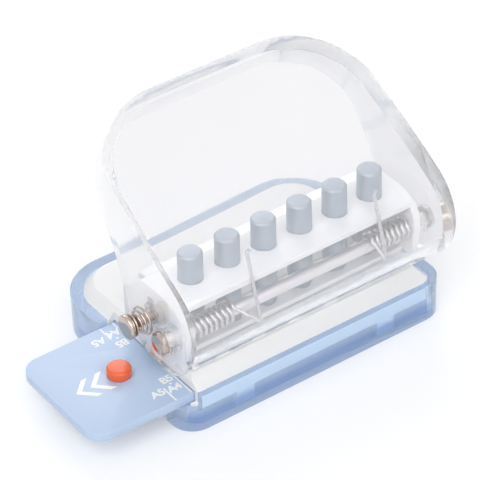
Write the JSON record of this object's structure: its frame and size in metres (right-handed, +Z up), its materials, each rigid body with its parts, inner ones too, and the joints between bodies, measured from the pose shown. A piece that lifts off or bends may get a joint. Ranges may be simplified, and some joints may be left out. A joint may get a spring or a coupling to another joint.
{
  "type": "paper punch",
  "caption": "Desk paper punch with a clear press lever, a row of steel punches, a see-through blue chip tray, a sliding paper gauge and a push lock.",
  "frame": {"origin": "middle of the chip tray's underside", "axes": "+X along the punch row, away from the gauge; +Y away from the paper side; +Z up"},
  "size_m": [0.0928, 0.0563, 0.0596],
  "materials": {
    "tray_blue": "see-through blue moulded plastic, glossy",
    "white_plastic": "white moulded plastic, satin",
    "die_steel": "plain steel",
    "guide_steel": "zinc-plated steel",
    "lifter_steel": "plain steel",
    "punch_steel": "ground steel",
    "shaft_steel": "bright drawn steel",
    "cap_nickel": "nickel plate",
    "spring_wire": "nickel-plated spring wire",
    "lever_clear": "clear moulded plastic, polished",
    "ruler_blue": "pale blue plastic with white marks",
    "button_orange": "orange plastic",
    "screw_steel": "zinc-plated steel"
  },
  "bodies": {
    "tray": {"chip_tray": "tray_blue"},
    "base": {"base_housing": "white_plastic", "die_plate": "die_steel", "top_plate": "white_plastic", "cheek_left": "white_plastic", "cheek_right": "white_plastic", "guide_plate": "guide_steel", "hinge_shaft": "shaft_steel", "shaft_cap_left": "cap_nickel", "shaft_cap_right": "cap_nickel", "torsion_spring_left": "spring_wire", "torsion_spring_right": "spring_wire", "lifter_spring_left": "spring_wire", "lifter_spring_right": "spring_wire", "frame_screws": "screw_steel"},
    "punch_set": {"punch_1": "punch_steel", "punch_2": "punch_steel", "punch_3": "punch_steel", "punch_4": "punch_steel", "punch_5": "punch_steel", "punch_6": "punch_steel", "lifter_plate": "lifter_steel"},
    "press_lever": {"lever": "lever_clear", "lock_spring": "spring_wire"},
    "lock": {"lock_pin": "cap_nickel", "lock_ring": "spring_wire"},
    "gauge": {"gauge_ruler": "ruler_blue", "gauge_button": "button_orange"}
  },
  "joints": [
    {"name": "tray_release", "type": "slide", "parent": "tray", "child": "base", "axis": [0, 0, 1], "range_m": [0, 0.012]},
    {"name": "lever_hinge", "type": "hinge", "parent": "base", "child": "press_lever", "pos_m": [0, -0.0192, 0.02155], "axis": [1, 0, 0], "range_deg": [-54, 0], "stiffness_Nm_per_rad": 0.02, "springref_deg": 34.38, "deforming": ["torsion_spring_left", "torsion_spring_right"]},
    {"name": "punch_stroke", "type": "slide", "parent": "base", "child": "punch_set", "axis": [0, 0, -1], "range_m": [0, 0.0046], "deforming": ["lifter_spring_left", "lifter_spring_right"]},
    {"name": "lock_push", "type": "slide", "parent": "press_lever", "child": "lock", "axis": [1, 0, 0], "range_m": [0, 0.002], "stiffness_N_per_m": 200, "springref_m": -0.002, "deforming": ["lock_spring"]},
    {"name": "gauge_slide", "type": "slide", "parent": "base", "child": "gauge", "axis": [1, 0, 0], "range_m": [-0.0032, 0.0206]}
  ],
  "couplings": [
    {"joint": "punch_stroke", "follows": "lever_hinge", "m_per_rad": -0.0048808}
  ]
}
